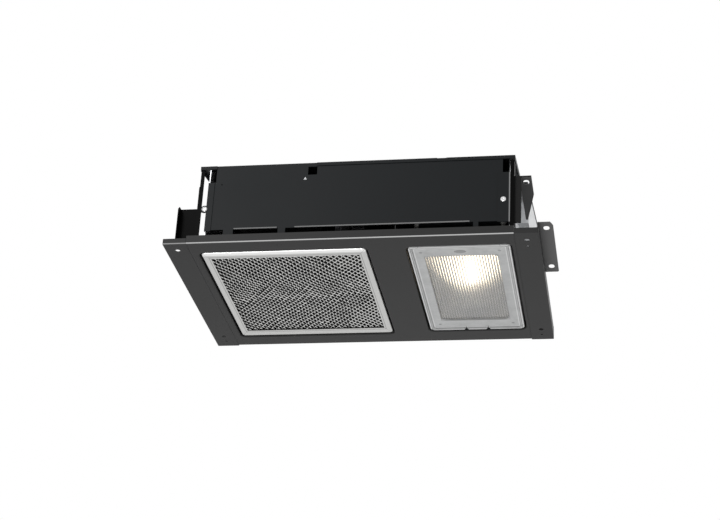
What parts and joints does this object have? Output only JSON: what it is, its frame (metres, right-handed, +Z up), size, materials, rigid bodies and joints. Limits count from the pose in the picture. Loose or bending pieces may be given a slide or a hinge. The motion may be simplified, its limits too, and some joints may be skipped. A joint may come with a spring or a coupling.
{
  "type": "range hood insert",
  "caption": "Ventilation insert for a custom hood: face plate with mesh grease filter and ribbed lamp lens, blower housing, duct collar and mounting ears.",
  "frame": {"origin": "centre of the footprint, ear included, on the underside of the face plate", "axes": "+X along the face plate towards the lamp, +Y from the front to the back, +Z up towards the duct"},
  "size_m": [0.5394, 0.3434, 0.204],
  "materials": {
    "black_paint": "satin charcoal powder coat on sheet steel",
    "galvanised": "bare galvanised sheet with a faint spangle",
    "white_enamel": "white baked enamel that throws the lamp light down",
    "spring_steel": "hardened spring strip",
    "zinc_screws": "bright zinc plate",
    "turned_steel": "ground steel",
    "motor_case": "pressed steel motor cap",
    "motor_stack": "varnished steel laminations",
    "filter_aluminium": "bright rolled aluminium frame and slit mesh",
    "clear_lens": "ribbed moulded lens",
    "bulb_envelope": null,
    "bulb_cap_metal": "threaded lamp cap",
    "porcelain": "white lamp holder",
    "black_rubber": "wire bushing"
  },
  "bodies": {
    "housing": {"face_plate": "black_paint", "left_rail": "black_paint", "right_rail": "black_paint", "leaf_rivets": "zinc_screws", "filter_spring": "spring_steel", "lens_catch_spring": "spring_steel", "front_wall": "black_paint", "left_corner_strip": "black_paint", "right_corner_strip": "black_paint", "left_post": "black_paint", "right_post": "black_paint", "front_screws": "zinc_screws", "left_wall": "galvanised", "right_wall": "galvanised", "back_wall": "galvanised", "partition": "galvanised", "roof": "black_paint", "filter_seat": "galvanised", "lamp_pan": "white_enamel", "left_bracket": "black_paint", "lower_ear": "black_paint", "upper_ear": "black_paint", "lens_hinge_rod": "turned_steel", "lens_hinge_bracket": "black_paint", "scroll_wrap": "galvanised", "scroll_left_side": "galvanised", "scroll_right_side": "galvanised", "motor_front_cap": "motor_case", "motor_stator": "motor_stack", "motor_back_cap": "motor_case", "motor_bracket": "galvanised", "motor_screws": "zinc_screws", "duct_collar": "galvanised", "damper_pin": "turned_steel", "collar_screws": "zinc_screws", "socket_bracket": "galvanised", "lamp_bracket_screws": "zinc_screws", "lamp_socket": "porcelain", "bulb_cap": "bulb_cap_metal", "bulb_glass": "bulb_envelope", "wiring_cover": "galvanised", "cover_screws": "zinc_screws", "wire_grommets": "black_rubber"},
    "filter": {"filter_frame": "filter_aluminium", "filter_mesh_face": "filter_aluminium", "filter_mesh_core": "filter_aluminium"},
    "lens": {"lens": "clear_lens"},
    "fan": {"wheel_disc": "galvanised", "wheel_left_cage": "galvanised", "wheel_right_cage": "galvanised", "motor_shaft": "turned_steel"},
    "front_flap": {"front_damper_flap": "galvanised"},
    "rear_flap": {"rear_damper_flap": "galvanised"}
  },
  "joints": [
    {"name": "filter_pull", "type": "slide", "parent": "housing", "child": "filter", "axis": [0, 0, -1], "range_m": [0, 0.04]},
    {"name": "lens_hinge", "type": "hinge", "parent": "housing", "child": "lens", "pos_m": [0.13945, 0.1299, 0.0036], "axis": [1, 0, 0], "range_deg": [0, 90]},
    {"name": "fan_spin", "type": "hinge", "parent": "housing", "child": "fan", "pos_m": [-0.1297, 0.00335, 0.0928], "axis": [1, 0, 0], "continuous": true},
    {"name": "front_flap_swing", "type": "hinge", "parent": "housing", "child": "front_flap", "pos_m": [-0.1297, 0.05365, 0.191], "axis": [-1, 0, 0], "range_deg": [0, 75]},
    {"name": "rear_flap_swing", "type": "hinge", "parent": "housing", "child": "rear_flap", "pos_m": [-0.1297, 0.05365, 0.191], "axis": [1, 0, 0], "range_deg": [0, 75]}
  ]
}
